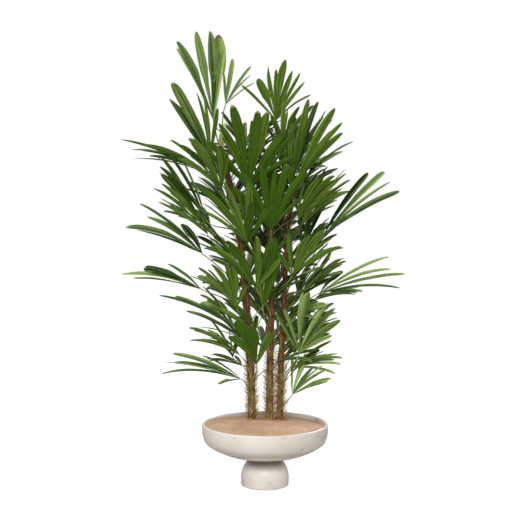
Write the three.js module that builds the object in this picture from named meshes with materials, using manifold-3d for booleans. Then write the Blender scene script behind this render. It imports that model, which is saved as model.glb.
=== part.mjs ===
// A lady palm in a pedestal bowl: three fibrous canes rise from sand, and each carries palmate fronds.
// Millimetres, +Z up, the front towards -Y. The origin is the middle of the pedestal's flat underside.
import * as THREE from "three";
import { mergeVertices } from "three/addons/utils/BufferGeometryUtils.js";
import Module from "manifold-3d";

const wasm = await Module();
wasm.setup();

// ---------------------------------------------------------------- driving dimensions

const GAP = 0.3; // between two pieces that touch

const RIM_RADIUS = 221;
const RIM_HEIGHT = 217;
const WALL = 10; // bowl wall
const PEDESTAL_RADIUS = 83.5;
const PEDESTAL_HEIGHT = 98;
const NECK_RADIUS = 52; // pedestal top, where the bowl sits on it
const EDGE_ROUND = 5; // pedestal's lower edge
const BOWL_SIDES = 40; // facets round the bowl and the sand
const PEDESTAL_SIDES = 28;

const SAND_EDGE = 205.5; // height of the sand where it meets the bowl
const SAND_MOUND = 13; // how much higher it is in the middle
const SAND_SLOPE = 5.5; // it lies lower at the back right than at the front left
const SAND_WAVE = 2; // raked unevenness

const CANE_SIDES = 8;
const CANE_STEPS = 12;
const CANE_FOOT = 200; // the flat cut, just under the sand's surface
const CANE_FLARE = 1.2; // foot radius over cane radius
const FLARE_HEIGHT = 60;
const CANE_TAPER = 0.66; // tip radius over foot radius

// Centre lines as [x, y, z], and the radius above the flare.
const CANES = {
  left: {
    radius: 13.5,
    line: [
      [-44, 42, CANE_FOOT],
      [-50, 40, 380],
      [-66, 32, 640],
      [-84, 22, 830],
      [-112, 12, 1010],
      [-158, 0, 1190],
    ],
  },
  middle: {
    radius: 13,
    line: [
      [17, 38, CANE_FOOT],
      [18, 36, 400],
      [23, 30, 700],
      [20, 24, 960],
      [30, 10, 1190],
    ],
  },
  right: {
    radius: 12,
    line: [
      [53, 48, CANE_FOOT],
      [57, 50, 400],
      [68, 44, 640],
      [76, 38, 820],
      [90, 30, 1010],
    ],
  },
};

const PETIOLE_HALF = 2.6; // half its width at the hub
const PETIOLE_STEPS = 4;
const PETIOLE_STEEPNESS = 62; // degrees above level where it leaves the cane
const PETIOLE_NUDGES = [0, 8, -8, 16, -16, 24, -24]; // heights tried at the cane, from the frond's own

const THICKNESS = 3.6; // of a leaflet at its keel, and of the petiole
const STATIONS = [0.62, 0.87]; // along a leaflet beyond the notch, as shares of its length
const OUTLINE = [1, 0.8]; // its width there
const NOTCH_FROM = 0.22; // the notch between two leaflets lies between these shares of the length
const NOTCH_TO = 0.48;
const BREADTH = 0.93; // the most of its own room in the fan that a leaflet fills
const CUPPING = 0.32; // how much the outer leaflets of a fan rise out of its plane
const DROOP = 24; // degrees that a level leaflet bends down by its tip
const CURVE_STEPS = 12; // used to work out a leaflet's bend

// A fan is turned and lifted by one of these, in degrees, and then its leaflets are shortened or left out,
// so that nothing touches.
const MOVES = [[0, 0], [6, 0], [-6, 0], [0, 6], [0, -6], [6, 6], [-6, 6], [12, 0], [-12, 0], [0, 12], [0, -12]];
const SHARES = [1, 0.84, 0.68, 0.52];
const CLEARANCE = 1.2; // the room kept round a leaflet or petiole when it is placed
const TOUCH = 1e-3; // mm³ in common, above which two pieces touch

// Fronds of each cane, from the lowest up. at: height on the cane where the petiole leaves it; x, y, z: the
// hub, where the leaflets meet; heading: of the fan's middle, in degrees, 0 right, 90 back, 180 left, 270
// front; pitch: of it above level; roll: of the fan about it; length and width: of its largest leaflet;
// spread: the fan's angle; leaflets: how many.
const FIELDS = ["at", "x", "y", "z", "heading", "pitch", "roll", "length", "width", "spread", "leaflets"];
const FRONDS = {
  left: [
    [285, -85, 0, 372, 182, 22, -40, 290, 24, 36, 6],
    [305, -82, 90, 405, 172, 23, 0, 170, 26, 90, 6],
    [340, -30, -75, 436, 240, 68, 0, 190, 50, 66, 4],
    [390, -90, 10, 455, 188, 34, 10, 205, 28, 80, 7],
    [430, -90, 150, 500, 130, 32, 0, 240, 30, 100, 7],
    [480, -113, -20, 560, 180, 38, -50, 275, 34, 40, 5],
    [540, -98, -90, 630, 238, 56, 0, 210, 34, 60, 5],
    [560, -97, 48, 626, 184, 44, 0, 215, 32, 76, 7],
    [590, -226, 10, 688, 180, 27, -42, 285, 28, 34, 5],
    [610, -60, 150, 720, 100, 36, 0, 260, 32, 100, 8],
    [650, -222, 0, 814, 180, 37, -52, 280, 32, 38, 5],
    [690, -95, 90, 768, 158, 39, 0, 240, 28, 60, 6],
    [740, -200, -40, 881, 202, 62, 15, 286, 36, 44, 7],
    [790, -195, 100, 890, 156, 39, 0, 265, 32, 80, 7],
    [850, -130, 150, 970, 120, 43, 0, 260, 32, 100, 7],
    [870, -202, -80, 930, 200, 60, -30, 285, 36, 36, 4],
    [930, -150, -120, 1030, 222, 48, 0, 240, 32, 80, 7],
    [960, -182, 0, 1084, 178, 30, 0, 350, 28, 42, 6],
    [1000, -190, -50, 1090, 205, 48, 0, 190, 30, 70, 5],
    [1030, -165, 30, 1090, 180, 65, -60, 372, 44, 15, 3],
    [1060, -80, 120, 1150, 85, 45, 0, 230, 30, 90, 7],
    [1110, -190, -35, 1150, 225, 74, 0, 235, 38, 45, 4],
    [1150, -139, 60, 1341, 0, 68, 75, 168, 24, 72, 5],
    [1175, -180, -20, 1280, 180, 80, -70, 310, 40, 36, 6],
  ],
  middle: [
    [440, 30, 150, 560, 85, 40, 0, 240, 32, 100, 7],
    [500, -10, -118, 642, 250, 80, 0, 250, 46, 18, 3],
    [580, -30, -140, 700, 240, 56, 0, 250, 32, 90, 7],
    [640, 90, -130, 740, 308, 52, 0, 250, 32, 80, 7],
    [700, 20, 160, 820, 90, 43, 0, 260, 32, 110, 8],
    [730, -60, -140, 850, 235, 56, 0, 260, 32, 90, 7],
    [790, 20, -120, 896, 280, 63, 0, 260, 38, 80, 6],
    [860, 60, 150, 970, 60, 43, 0, 260, 32, 100, 8],
    [930, -55, -130, 1040, 276, 66, 0, 276, 36, 92, 9],
    [1000, 70, 110, 1100, 60, 54, 0, 260, 30, 90, 7],
    [1050, -40, 120, 1120, 120, 51, 0, 240, 30, 90, 7],
    [1110, 60, -50, 1190, 318, 60, 0, 180, 30, 80, 6],
    [1175, 38, -20, 1275, 300, 78, 0, 200, 26, 92, 9],
  ],
  right: [
    [245, 96, 0, 317, 0, 57, 62, 165, 20, 68, 7],
    [310, 104, 55, 405, 0, 24, 45, 190, 22, 50, 6],
    [350, 119, -40, 470, 0, 72, 60, 215, 30, 88, 8],
    [400, 120, 150, 500, 50, 34, 0, 222, 32, 100, 7],
    [520, 194, 0, 676, 0, 23, 45, 300, 26, 38, 6],
    [540, 173, 70, 640, 12, 26, 0, 200, 26, 60, 6],
    [580, 107, 50, 650, 17, 51, 0, 275, 34, 70, 8],
    [630, 120, 150, 750, 60, 39, 0, 260, 32, 100, 7],
    [690, 204, -30, 876, 0, 47, 55, 290, 32, 32, 5],
    [760, 138, 80, 822, 42, 56, 0, 175, 26, 60, 5],
    [800, 150, 150, 920, 42, 43, 0, 225, 32, 90, 7],
    [830, 119, -15, 901, 335, 51, 10, 278, 32, 85, 9],
    [870, 112, -90, 930, 322, 48, 0, 220, 36, 60, 5],
    [900, 110, 130, 1010, 80, 48, 0, 260, 32, 90, 7],
    [960, 90, -60, 1024, 315, 70, 0, 330, 34, 60, 8],
    [985, 152, 50, 1093, 10, 50, 20, 222, 30, 32, 4],
    [1000, 119, 80, 1116, 55, 73, 0, 270, 30, 56, 5],
  ],
};

// ---------------------------------------------------------------- materials

const paint = (color, roughness) => new THREE.MeshStandardMaterial({ color, roughness, metalness: 0 });
const MATERIALS = {
  stone: paint(0xe4dcd0, 0.35),
  sand: paint(0xc9a283, 0.95),
  cane: paint(0x8a6a3c, 0.85),
  frond: paint(0x3f6a25, 0.5),
};

// ---------------------------------------------------------------- solids

// A closed three.js geometry as a manifold solid: equal corners are merged and collapsed faces dropped.
function solidOf(geometry) {
  const bare = new THREE.BufferGeometry().setAttribute("position", geometry.getAttribute("position"));
  bare.setIndex(geometry.index);
  const merged = mergeVertices(bare, 1e-4);
  const corners = merged.index.array;
  const kept = [];
  for (let i = 0; i < corners.length; i += 3) {
    const [a, b, c] = [corners[i], corners[i + 1], corners[i + 2]];
    if (a !== b && b !== c && c !== a) kept.push(a, b, c);
  }
  return new wasm.Manifold(
    new wasm.Mesh({
      numProp: 3,
      vertProperties: new Float32Array(merged.getAttribute("position").array),
      triVerts: new Uint32Array(kept),
    }),
  );
}

// A manifold solid as a named three.js mesh.
function meshOf(name, solid, material) {
  const { vertProperties, triVerts, numProp } = solid.getMesh();
  const points = new Float32Array((vertProperties.length / numProp) * 3);
  for (let i = 0; i < points.length / 3; i++) {
    points.set(vertProperties.subarray(i * numProp, i * numProp + 3), i * 3);
  }
  const geometry = new THREE.BufferGeometry();
  geometry.setAttribute("position", new THREE.BufferAttribute(points, 3));
  geometry.setIndex(new THREE.BufferAttribute(new Uint32Array(triVerts), 1));
  geometry.computeVertexNormals();
  const mesh = new THREE.Mesh(geometry, material);
  mesh.name = name;
  return mesh;
}

// A lathe round +Z. The profile runs from the axis, below, round the outside and back to the axis.
function turned(profile, sides) {
  return new THREE.LatheGeometry(profile, sides).rotateX(Math.PI / 2);
}

// A prism of unit radius bent into shape: place(share, across, up) gives where a corner goes. share runs
// from 0 to 1 along it, and across and up are the corner's place in the unit section.
function bent(sides, steps, place) {
  const geometry = new THREE.CylinderGeometry(1, 1, 1, sides, steps);
  const points = geometry.getAttribute("position");
  for (let i = 0; i < points.count; i++) {
    const to = place(points.getY(i) + 0.5, points.getX(i), points.getZ(i));
    points.setXYZ(i, to.x, to.y, to.z);
  }
  return geometry;
}

// The same number from 0 to 1 each time for the same three whole numbers.
function chance(a, b, c) {
  const x = Math.sin(a * 12.9898 + b * 78.233 + c * 37.719) * 43758.5453;
  return x - Math.floor(x);
}

const radians = THREE.MathUtils.degToRad;
const mix = THREE.MathUtils.lerp;

// ---------------------------------------------------------------- pot and sand

// The bowl's section: a flat middle, a shallow dish, a tight shoulder and an upright rim. inset moves it in
// from the outer face.
function bowlCurve(inset) {
  const curve = new THREE.CurvePath();
  const at = (radius, height) => new THREE.Vector2(radius, height);
  const base = PEDESTAL_HEIGHT + GAP + inset;
  const shoulder = at(RIM_RADIUS - 13.5 - 0.75 * inset, PEDESTAL_HEIGHT + 52 + 0.65 * inset);
  const upright = at(RIM_RADIUS - inset, RIM_HEIGHT - 22);
  curve.add(new THREE.LineCurve(at(0, base), at(NECK_RADIUS, base)));
  curve.add(
    new THREE.CubicBezierCurve(
      at(NECK_RADIUS, base),
      at(108, base + 1.5),
      at(174 - 0.8 * inset, base + 24),
      shoulder,
    ),
  );
  curve.add(
    new THREE.CubicBezierCurve(
      shoulder,
      at(shoulder.x + 9, shoulder.y + 10),
      at(upright.x - 0.5, upright.y - 16),
      upright,
    ),
  );
  return curve;
}

const sampled = (curve, divisions) => {
  const points = [];
  curve.curves.forEach((piece, k) => {
    const made = piece.getPoints(divisions[k]);
    points.push(...(k ? made.slice(1) : made));
  });
  return points;
};

function makeBowl() {
  const outer = sampled(bowlCurve(0), [1, 5, 3]);
  const inner = sampled(bowlCurve(WALL), [1, 3, 2]).reverse();
  const lip = new THREE.Path();
  lip.absellipse(RIM_RADIUS - WALL / 2, RIM_HEIGHT - WALL / 2, WALL / 2, WALL / 2, 0, Math.PI, false, 0);
  return solidOf(turned([...outer, ...lip.getPoints(3), ...inner], BOWL_SIDES));
}

function makePedestal() {
  const side = new THREE.Path();
  side.moveTo(0, 0);
  side.lineTo(PEDESTAL_RADIUS - EDGE_ROUND, 0);
  side.quadraticCurveTo(PEDESTAL_RADIUS, 0, PEDESTAL_RADIUS, EDGE_ROUND * 1.4);
  side.lineTo(PEDESTAL_RADIUS, PEDESTAL_HEIGHT * 0.3);
  side.bezierCurveTo(
    PEDESTAL_RADIUS,
    PEDESTAL_HEIGHT * 0.57,
    NECK_RADIUS + 15,
    PEDESTAL_HEIGHT * 0.84,
    NECK_RADIUS,
    PEDESTAL_HEIGHT,
  );
  side.lineTo(0, PEDESTAL_HEIGHT);
  return solidOf(turned(side.getPoints(4), PEDESTAL_SIDES));
}

// The sand's height at a point: mounded, tilted down to the back right, and uneven.
function sandHeight(x, y) {
  const share = Math.hypot(x, y) / RIM_RADIUS;
  const slope = (SAND_SLOPE * (x + y)) / (RIM_RADIUS * Math.SQRT2);
  const wave = SAND_WAVE * Math.sin(x / 31 + 1.3) * Math.cos(y / 24 - 0.4);
  return SAND_EDGE + SAND_MOUND * (1 - share * share) - slope + wave * (1 - share ** 4);
}

function makeSand(holes) {
  const edge = RIM_RADIUS - WALL - 1.5;
  const under = sampled(bowlCurve(WALL + GAP), [1, 3, 2]).slice(0, -1);
  const profile = [...under, new THREE.Vector2(edge, RIM_HEIGHT - 30)];
  const topFrom = profile.length;
  for (const share of [1, 0.75, 0.5, 0.25, 0]) profile.push(new THREE.Vector2(edge * share, SAND_EDGE));
  const geometry = turned(profile, BOWL_SIDES);
  const points = geometry.getAttribute("position");
  for (let i = 0; i < points.count; i++) {
    if (i % profile.length < topFrom) continue;
    points.setZ(i, sandHeight(points.getX(i), points.getY(i)));
  }
  return solidOf(geometry).subtract(holes);
}

// ---------------------------------------------------------------- canes

const caneCurve = (cane) => new THREE.CatmullRomCurve3(cane.line.map((point) => new THREE.Vector3(...point)));

// The share of the cane's curve, as getPoint takes it, where it reaches a height.
function shareAt(curve, height) {
  let low = 0;
  let high = 1;
  for (let i = 0; i < 30; i++) {
    const middle = (low + high) / 2;
    if (curve.getPoint(middle).z < height) low = middle;
    else high = middle;
  }
  return low;
}

function caneRadius(cane, share, height) {
  const flare = 1 + (CANE_FLARE - 1) * Math.max(0, 1 - (height - CANE_FOOT) / FLARE_HEIGHT) ** 2;
  return cane.radius * mix(1, CANE_TAPER, share) * flare;
}

// The cane as a solid, its flat foot level. grown makes it fatter and longer at both ends.
function makeCane(cane, grown = 0) {
  const curve = caneCurve(cane);
  return solidOf(
    bent(CANE_SIDES, CANE_STEPS, (share, across, up) => {
      const middle = curve.getPoint(share);
      const radius = caneRadius(cane, share, middle.z) + grown;
      const end = share === 0 ? -grown : share === 1 ? grown : 0;
      return new THREE.Vector3(middle.x + across * radius, middle.y - up * radius, middle.z + end);
    }),
  );
}

// ---------------------------------------------------------------- fronds

const flat = (degrees) => new THREE.Vector3(Math.cos(radians(degrees)), Math.sin(radians(degrees)), 0);
const raised = (heading, pitch) =>
  flat(heading)
    .multiplyScalar(Math.cos(radians(pitch)))
    .setZ(Math.sin(radians(pitch)));

// One closed surface, gathered corner by corner. A section is three corners, [left, right, keel], seen
// along the way it leads.
class Surface {
  corners = [];
  faces = [];

  corner(point) {
    return this.corners.push(point) - 1;
  }

  // The section round a point, its keel below.
  section(point, way, up, left, right, keel, top = 0) {
    const side = new THREE.Vector3().crossVectors(way, up).normalize();
    const over = new THREE.Vector3().crossVectors(side, way).normalize();
    const at = (across, above) => point.clone().addScaledVector(side, across).addScaledVector(over, above);
    return [this.corner(at(-left, top)), this.corner(at(right, top)), this.corner(at(0, -keel))];
  }

  walls([a, b, c], [d, e, f]) {
    this.faces.push([a, b, e], [a, e, d], [b, c, f], [b, f, e], [a, d, f], [a, f, c]);
  }

  point([a, b, c], tip) {
    this.faces.push([a, b, tip], [b, c, tip], [a, tip, c]);
  }

  solid() {
    return solidOf(new THREE.BufferGeometry().setFromPoints(this.corners).setIndex(this.faces.flat()));
  }
}

// A frond's hub and its fan's own axes, turned and lifted by a move.
function fanOf(frond, [turn, lift] = [0, 0]) {
  const along = raised(frond.heading, frond.pitch);
  const side = flat(frond.heading - 90).applyAxisAngle(along, radians(frond.roll));
  const up = new THREE.Vector3().crossVectors(side, along);
  along.applyAxisAngle(up, radians(turn));
  side.applyAxisAngle(up, radians(turn));
  along.applyAxisAngle(side, radians(lift));
  up.applyAxisAngle(side, radians(lift));
  return { hub: new THREE.Vector3(frond.x, frond.y, frond.z), along, side, up };
}

// A petiole's centre line: from inside the cane, steeply up, and into the hub along the fan.
function petioleCurve(curve, frond, nudge) {
  const { hub, along } = fanOf(frond);
  const foot = curve.getPoint(shareAt(curve, frond.at + nudge));
  const length = foot.distanceTo(hub);
  const away = THREE.MathUtils.radToDeg(Math.atan2(hub.y - foot.y, hub.x - foot.x));
  return new THREE.CubicBezierCurve3(
    foot,
    foot.clone().addScaledVector(raised(away, PETIOLE_STEEPNESS), 0.35 * length),
    hub.clone().addScaledVector(along, -0.3 * length),
    hub,
  );
}

// The petiole's part of a surface. It gives back the section at the hub.
function addPetiole(surface, curve, { up }, margin) {
  let last = null;
  for (let i = 0; i <= PETIOLE_STEPS; i++) {
    const share = i / PETIOLE_STEPS;
    const half = PETIOLE_HALF * mix(1.3, 1, share) + margin;
    const keel = (THICKNESS / 2) * mix(1.3, 1, share) + margin;
    const way = curve.getTangent(share);
    const section = surface.section(curve.getPoint(share), way, up, half, half, keel, keel);
    if (last) surface.walls(last, section);
    else surface.faces.push([section[0], section[2], section[1]]);
    last = section;
  }
  return last;
}

// The leaflets of a fan from its left to its right: each one's direction, length and width.
function leafletsOf(frond, fan) {
  return Array.from({ length: frond.leaflets }, (_, index) => {
    const seed = [frond.number, index];
    const place = (2 * index) / (frond.leaflets - 1) - 1;
    const step = frond.spread / frond.leaflets;
    const angle = radians((place * frond.spread) / 2 + step * 0.3 * (chance(...seed, 1) - 0.5));
    const direction = fan.along
      .clone()
      .multiplyScalar(Math.cos(angle))
      .addScaledVector(fan.side, Math.sin(angle))
      .addScaledVector(fan.up, CUPPING * Math.sin(angle) ** 2)
      .normalize();
    return {
      direction,
      length: frond.length * (1 - 0.2 * place * place) * mix(0.93, 1.05, chance(...seed, 2)),
      width: frond.width * (1 - 0.3 * place * place) * mix(0.85, 1.1, chance(...seed, 3)),
      droop: DROOP * mix(0.6, 1.35, chance(...seed, 4)),
    };
  });
}

// The leaflet's centre line from the hub to its tip, bending down as far as it is level.
function spineOf(fan, leaflet, share) {
  const { direction, length } = leaflet;
  const heading = Math.atan2(direction.y, direction.x);
  const pitch = Math.asin(direction.z);
  const droop = radians(leaflet.droop) * Math.cos(pitch) * share;
  const point = fan.hub.clone();
  const points = [point.clone()];
  for (let i = 0; i < CURVE_STEPS; i++) {
    const now = pitch - droop * ((i + 0.5) / CURVE_STEPS) ** 1.4;
    const way = new THREE.Vector3(
      Math.cos(now) * Math.cos(heading),
      Math.cos(now) * Math.sin(heading),
      Math.sin(now),
    );
    points.push(point.addScaledVector(way, (length * share) / CURVE_STEPS).clone());
  }
  return { ...leaflet, share, points };
}

// The place and the way part of the way along a spine.
function onSpine({ points }, share) {
  const place = Math.min(share, 1) * (points.length - 1);
  const from = Math.min(Math.floor(place), points.length - 2);
  const point = points[from].clone().lerp(points[from + 1], place - from);
  return { point, way: points[from + 1].clone().sub(points[from]).normalize() };
}

// The leaflets' part of a surface, from the section at the hub. They are one web as far as the notches
// between them.
function addLeaflets(surface, hub, frond, fan, spines, margin) {
  const step = radians(frond.spread) / Math.max(1, frond.leaflets - 1);
  const notch = THREE.MathUtils.clamp((0.8 * frond.width) / step / frond.length, NOTCH_FROM, NOTCH_TO);
  const placeOn = (spine, share) => onSpine(spine, share / spine.share);
  // half a leaflet's width on the side of a neighbour
  const halfAt = (spine, neighbour, share, shape) => {
    const half = (spine.width * shape) / 2;
    if (!neighbour) return half;
    const room = placeOn(spine, share).point.distanceTo(placeOn(neighbour, share).point);
    return Math.min(half, (BREADTH * room) / 2);
  };
  const roots = spines.map((spine) => {
    const { point, way } = placeOn(spine, notch);
    const half = halfAt(spine, null, notch, 0.75) + margin;
    return surface.section(point, way, fan.up, half, half, THICKNESS + margin, margin);
  });
  for (let i = 1; i < roots.length; i++) {
    const meeting = surface.corners[roots[i - 1][1]].clone().lerp(surface.corners[roots[i][0]], 0.5);
    roots[i - 1][1] = roots[i][0] = surface.corner(meeting);
  }
  spines.forEach((spine, i) => {
    let last = roots[i];
    STATIONS.forEach((station, k) => {
      const share = mix(notch, 1, (station - NOTCH_FROM) / (1 - NOTCH_FROM)) * spine.share;
      const { point, way } = placeOn(spine, share);
      const left = halfAt(spine, spines[i - 1], share, OUTLINE[k]) + margin;
      const right = halfAt(spine, spines[i + 1], share, OUTLINE[k]) + margin;
      const section = surface.section(point, way, fan.up, left, right, THICKNESS + margin, margin);
      surface.walls(last, section);
      last = section;
    });
    const { point, way } = onSpine(spine, 1);
    surface.point(last, surface.corner(point.addScaledVector(way, margin)));
  });

  const edges = [roots[0][0], ...roots.map((root) => root[1])];
  const half = Math.floor(roots.length / 2);
  surface.faces.push([hub[0], edges[0], hub[2]], [hub[0], hub[1], edges[half]]);
  surface.faces.push([hub[1], hub[2], edges.at(-1)]);
  roots.forEach((root, i) => {
    surface.faces.push([i < half ? hub[0] : hub[1], edges[i + 1], edges[i]]);
    surface.faces.push([hub[2], edges[i], root[2]], [hub[2], root[2], edges[i + 1]]);
  });
}

// Boxes and solids of everything that has its place already.
class Placed {
  items = [];

  add(solid, owner) {
    this.items.push({ solid, owner, box: solid.boundingBox() });
  }

  // Whether a solid touches anything that another owner has put there.
  touched(solid, owner) {
    const { min, max } = solid.boundingBox();
    return this.items.some(
      (item) =>
        item.owner !== owner &&
        [0, 1, 2].every((k) => min[k] <= item.box.max[k] && max[k] >= item.box.min[k]) &&
        item.solid.intersect(solid).volume() > TOUCH,
    );
  }
}

// The frond's petiole, from the first height on its cane at which it touches nothing.
function placePetiole(placed, frond, cane) {
  const solidAt = (curve, margin) => {
    const surface = new Surface();
    const [left, right, keel] = addPetiole(surface, curve, fanOf(frond), margin);
    surface.faces.push([left, right, keel]);
    return surface.solid().subtract(cane.grown);
  };
  for (const nudge of PETIOLE_NUDGES) {
    const curve = petioleCurve(cane.curve, frond, nudge);
    if (placed.touched(solidAt(curve, CLEARANCE), cane.name)) continue;
    placed.add(solidAt(curve, 0), frond.name);
    return curve;
  }
  throw new Error(`${frond.name} has no free petiole`);
}

// A fan's leaflets, each as long as it can be without touching anything.
function fitted(placed, frond, fan) {
  const spines = [];
  for (const leaflet of leafletsOf(frond, fan)) {
    for (const share of SHARES) {
      const spine = spineOf(fan, leaflet, share);
      const surface = new Surface();
      const half = PETIOLE_HALF + CLEARANCE;
      const keel = THICKNESS / 2 + CLEARANCE;
      const hub = surface.section(fan.hub, fan.along, fan.up, half, half, keel, keel);
      surface.faces.push([hub[0], hub[2], hub[1]]);
      addLeaflets(surface, hub, frond, fan, [spine], CLEARANCE);
      if (placed.touched(surface.solid(), frond.name)) continue;
      spines.push(spine);
      break;
    }
  }
  return spines;
}

function makeFrond(frond, fan, spines) {
  const surface = new Surface();
  addLeaflets(surface, addPetiole(surface, frond.petiole, fan, 0), frond, fan, spines, 0);
  return surface.solid().subtract(frond.cane.grown);
}

// The frond as moved where most of its leaflets' length is kept.
function placeFrond(placed, frond) {
  let best = null;
  let most = 0;
  for (const move of MOVES) {
    const fan = fanOf(frond, move);
    const spines = fitted(placed, frond, fan);
    const kept = spines.reduce((sum, spine) => sum + spine.share * spine.length, 0);
    if (kept <= most * 1.02) continue;
    const solid = makeFrond(frond, fan, spines);
    if (placed.touched(solid, frond.name)) continue;
    best = solid;
    most = kept;
    if (spines.length === frond.leaflets && spines.every((spine) => spine.share === 1)) break;
  }
  if (!best) throw new Error(`${frond.name} has no room`);
  placed.add(best, frond.name);
  return best;
}

// ---------------------------------------------------------------- the whole plant

function build() {
  const group = new THREE.Group();
  const placed = new Placed();
  const bowl = makeBowl();
  const canes = Object.entries(CANES).map(([key, cane]) => ({
    key,
    name: `cane_${key}`,
    curve: caneCurve(cane),
    solid: makeCane(cane),
    grown: makeCane(cane, GAP),
  }));
  const sand = makeSand(wasm.Manifold.union(canes.map((cane) => cane.grown)));
  group.add(meshOf("pedestal", makePedestal(), MATERIALS.stone));
  group.add(meshOf("bowl", bowl, MATERIALS.stone));
  group.add(meshOf("sand", sand, MATERIALS.sand));
  placed.add(bowl, "bowl");
  placed.add(sand, "sand");
  for (const cane of canes) {
    group.add(meshOf(cane.name, cane.solid, MATERIALS.cane));
    placed.add(cane.grown, cane.name);
  }

  const fronds = [];
  for (const cane of canes) {
    for (const row of FRONDS[cane.key]) {
      const frond = Object.fromEntries(FIELDS.map((field, k) => [field, row[k]]));
      frond.cane = cane;
      frond.number = fronds.length + 1;
      frond.name = `frond_${cane.key}_${String(frond.number).padStart(2, "0")}`;
      frond.petiole = placePetiole(placed, frond, cane);
      fronds.push(frond);
    }
  }
  // those in front take their room first
  const frontToBack = [...fronds].sort((one, other) => one.y - other.y);
  for (const frond of frontToBack) frond.solid = placeFrond(placed, frond);
  for (const frond of fronds) group.add(meshOf(frond.name, frond.solid, MATERIALS.frond));
  return group;
}

export default build();
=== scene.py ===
"""The looks of a lady palm in a pedestal bowl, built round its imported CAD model.

The plant's rule is worked in millimetres and made in metres. +Z is up and the front is towards -Y.
"""

import math

import bpy
import numpy as np
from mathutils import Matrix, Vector, noise


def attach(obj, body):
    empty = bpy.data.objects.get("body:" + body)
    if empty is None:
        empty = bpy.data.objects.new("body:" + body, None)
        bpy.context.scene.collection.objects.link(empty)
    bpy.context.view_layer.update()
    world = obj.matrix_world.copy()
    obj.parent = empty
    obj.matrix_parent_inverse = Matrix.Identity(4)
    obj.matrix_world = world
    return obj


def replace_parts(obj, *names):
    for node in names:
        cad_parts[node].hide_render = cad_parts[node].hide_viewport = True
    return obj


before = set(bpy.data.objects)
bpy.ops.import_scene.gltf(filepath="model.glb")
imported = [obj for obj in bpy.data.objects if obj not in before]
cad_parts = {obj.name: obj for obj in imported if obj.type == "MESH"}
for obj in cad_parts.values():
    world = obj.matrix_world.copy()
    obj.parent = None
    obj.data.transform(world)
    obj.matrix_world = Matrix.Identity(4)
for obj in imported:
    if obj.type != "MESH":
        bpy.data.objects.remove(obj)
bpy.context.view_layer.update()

MM = 0.001

# -------- the part's own sizes and rule

RIM_RADIUS = 221
RIM_HEIGHT = 217
WALL = 10
PEDESTAL_RADIUS = 83.5
PEDESTAL_HEIGHT = 98
NECK_RADIUS = 52
EDGE_ROUND = 5
GAP = 0.3
SHOULDER_INSET = 13.5
SHOULDER_RISE = 52
UPRIGHT_BELOW_RIM = 22

SAND_EDGE = 205.5
SAND_MOUND = 13
SAND_SLOPE = 5.5
SAND_WAVE = 2

CANE_FOOT = 200
CANE_FLARE = 1.2
FLARE_HEIGHT = 60
CANE_TAPER = 0.66
# each cane's radius, and the points of its centre line
CANES = {
    "left": (
        13.5,
        [
            [-44, 42, CANE_FOOT], [-50, 40, 380], [-66, 32, 640], [-84, 22, 830], [-112, 12, 1010],
            [-158, 0, 1190],
        ],
    ),
    "middle": (13, [[17, 38, CANE_FOOT], [18, 36, 400], [23, 30, 700], [20, 24, 960], [30, 10, 1190]]),
    "right": (12, [[53, 48, CANE_FOOT], [57, 50, 400], [68, 44, 640], [76, 38, 820], [90, 30, 1010]]),
}

PETIOLE_HALF = 2.6
PETIOLE_STEEPNESS = 62
PETIOLE_NUDGES = [0, 8, -8, 16, -16, 24, -24]
THICKNESS = 3.6
NOTCH_FROM = 0.22
NOTCH_TO = 0.48
CUPPING = 0.32
DROOP = 24
CURVE_STEPS = 12
MOVES = [(0, 0), (6, 0), (-6, 0), (0, 6), (0, -6), (6, 6), (-6, 6), (12, 0), (-12, 0), (0, 12), (0, -12)]

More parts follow.
